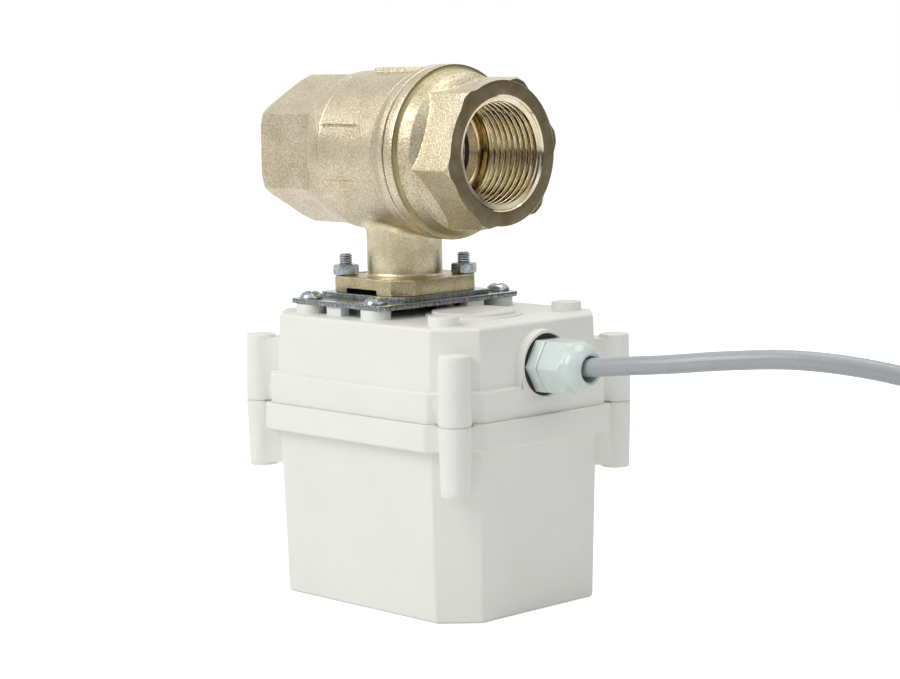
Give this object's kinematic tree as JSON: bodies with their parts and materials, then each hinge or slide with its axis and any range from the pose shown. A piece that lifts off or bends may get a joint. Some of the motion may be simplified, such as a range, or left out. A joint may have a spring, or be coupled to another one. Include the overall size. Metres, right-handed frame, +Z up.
{
  "type": "motorized ball valve",
  "caption": "Threaded brass ball valve turned by a geared electric actuator in a pale plastic case, with a cable gland and a coiled supply cable.",
  "frame": {"origin": "on the stem's axis, in the plane of the case's lowest face", "axes": "+Z up along the stem towards the valve, +X along the valve's bore towards the screwed-in end cap"},
  "size_m": [0.3145, 0.0961, 0.16],
  "materials": {
    "nickel_body": "blasted nickel plate",
    "nickel_cap": "turned and blasted nickel plate",
    "polished_ball": "polished chrome plate",
    "seat_plastic": "smooth white fluoroplastic",
    "stem_brass": "turned",
    "seal_rubber": "matt",
    "zinc_screw": "blue zinc plate",
    "zinc_plate": "blue zinc plate, punched",
    "stainless_plate": "punched stainless sheet",
    "case_plastic": "fine satin, moulded",
    "plug_plastic": "satin, moulded",
    "shaft_steel": "turned",
    "bush_bronze": "sintered bronze",
    "gear_steel": "hobbed steel",
    "gear_brass": "hobbed brass",
    "motor_can": "drawn, bright",
    "cam_plastic": "moulded",
    "switch_plastic": "moulded",
    "button_plastic": "moulded",
    "board_laminate": "solder resist on laminate",
    "terminal_plastic": "moulded",
    "relay_plastic": "moulded",
    "capacitor_sleeve": "shrunk film",
    "gland_plastic": "smooth polyamide",
    "cable_jacket": "smooth soft jacket",
    "core_insulation": "smooth insulation"
  },
  "bodies": {
    "housing": {"valve_body": "nickel_body", "end_cap": "nickel_cap", "cap_seal": "seat_plastic", "seat_ring_inlet": "seat_plastic", "seat_ring_outlet": "seat_plastic", "stem_thrust_washer": "seat_plastic", "flange_bolts": "zinc_screw", "flange_nuts": "zinc_screw", "spacer_plate": "stainless_plate", "mounting_plate": "zinc_plate", "plate_screws": "zinc_screw", "base_cover": "case_plastic", "round_plug": "plug_plastic", "deep_cover": "case_plastic", "case_seal": "seal_rubber", "case_screws": "zinc_screw", "output_bush": "bush_bronze", "axle_two": "shaft_steel", "axle_one": "shaft_steel", "gear_plate": "zinc_plate", "plate_bush": "bush_bronze", "pillar_screws": "zinc_screw", "motor_body": "motor_can", "motor_screws": "zinc_screw", "switch_open": "switch_plastic", "switch_shut": "switch_plastic", "switch_screws": "zinc_screw", "circuit_board": "board_laminate", "board_screws": "zinc_screw", "terminal_block": "terminal_plastic", "terminal_screws": "zinc_screw", "relay": "relay_plastic", "capacitor": "capacitor_sleeve", "gland_washer": "seal_rubber", "gland_body": "gland_plastic", "gland_nut": "gland_plastic", "gland_insert": "seal_rubber", "gland_locknut": "gland_plastic", "cable_in_gland": "cable_jacket", "cable_free": "cable_jacket", "cable_coil": "cable_jacket", "cable_cores": "core_insulation", "inner_wires": "core_insulation"},
    "drive": {"ball": "polished_ball", "stem": "stem_brass", "stem_o_rings": "seal_rubber", "output_shaft": "shaft_steel", "shaft_seal": "seal_rubber", "output_gear": "gear_steel", "cam_open": "cam_plastic", "cam_shut": "cam_plastic", "cam_screws": "zinc_screw"},
    "gear_two": {"gear_two": "gear_brass"},
    "gear_one": {"gear_one": "gear_brass"},
    "rotor": {"motor_shaft": "shaft_steel", "motor_pinion": "gear_brass"},
    "button_open": {"button_open": "button_plastic"},
    "button_shut": {"button_shut": "button_plastic"}
  },
  "joints": [
    {"name": "quarter_turn", "type": "hinge", "parent": "housing", "child": "drive", "pos_m": [0, 0, 0.08], "axis": [0, 0, 1], "range_deg": [0, 90]},
    {"name": "gear_two_spin", "type": "hinge", "parent": "housing", "child": "gear_two", "pos_m": [0.0214, -0.01498, 0.068], "axis": [0, 0, 1], "range_deg": [-300.5, 0.5]},
    {"name": "gear_one_spin", "type": "hinge", "parent": "housing", "child": "gear_one", "pos_m": [0.0264, 0.00368, 0.068], "axis": [0, 0, 1], "range_deg": [-0.5, 900.5]},
    {"name": "rotor_spin", "type": "hinge", "parent": "housing", "child": "rotor", "pos_m": [0.03982, 0.01758, 0.064], "axis": [0, 0, 1], "range_deg": [-2700.5, 0.5]},
    {"name": "open_button_slide", "type": "slide", "parent": "housing", "child": "button_open", "axis": [1, 0, 0], "range_m": [0, 0.00081]},
    {"name": "shut_button_slide", "type": "slide", "parent": "housing", "child": "button_shut", "axis": [1, 0, 0], "range_m": [-0.00081, 0]}
  ],
  "couplings": [
    {"joint": "gear_two_spin", "follows": "quarter_turn", "ratio": -3.3333},
    {"joint": "gear_one_spin", "follows": "quarter_turn", "ratio": 10},
    {"joint": "rotor_spin", "follows": "quarter_turn", "ratio": -30},
    {"joint": "open_button_slide", "follows": "quarter_turn", "m_per_rad": 0.0005093},
    {"joint": "shut_button_slide", "follows": "quarter_turn", "m_per_rad": -0.0005093}
  ]
}
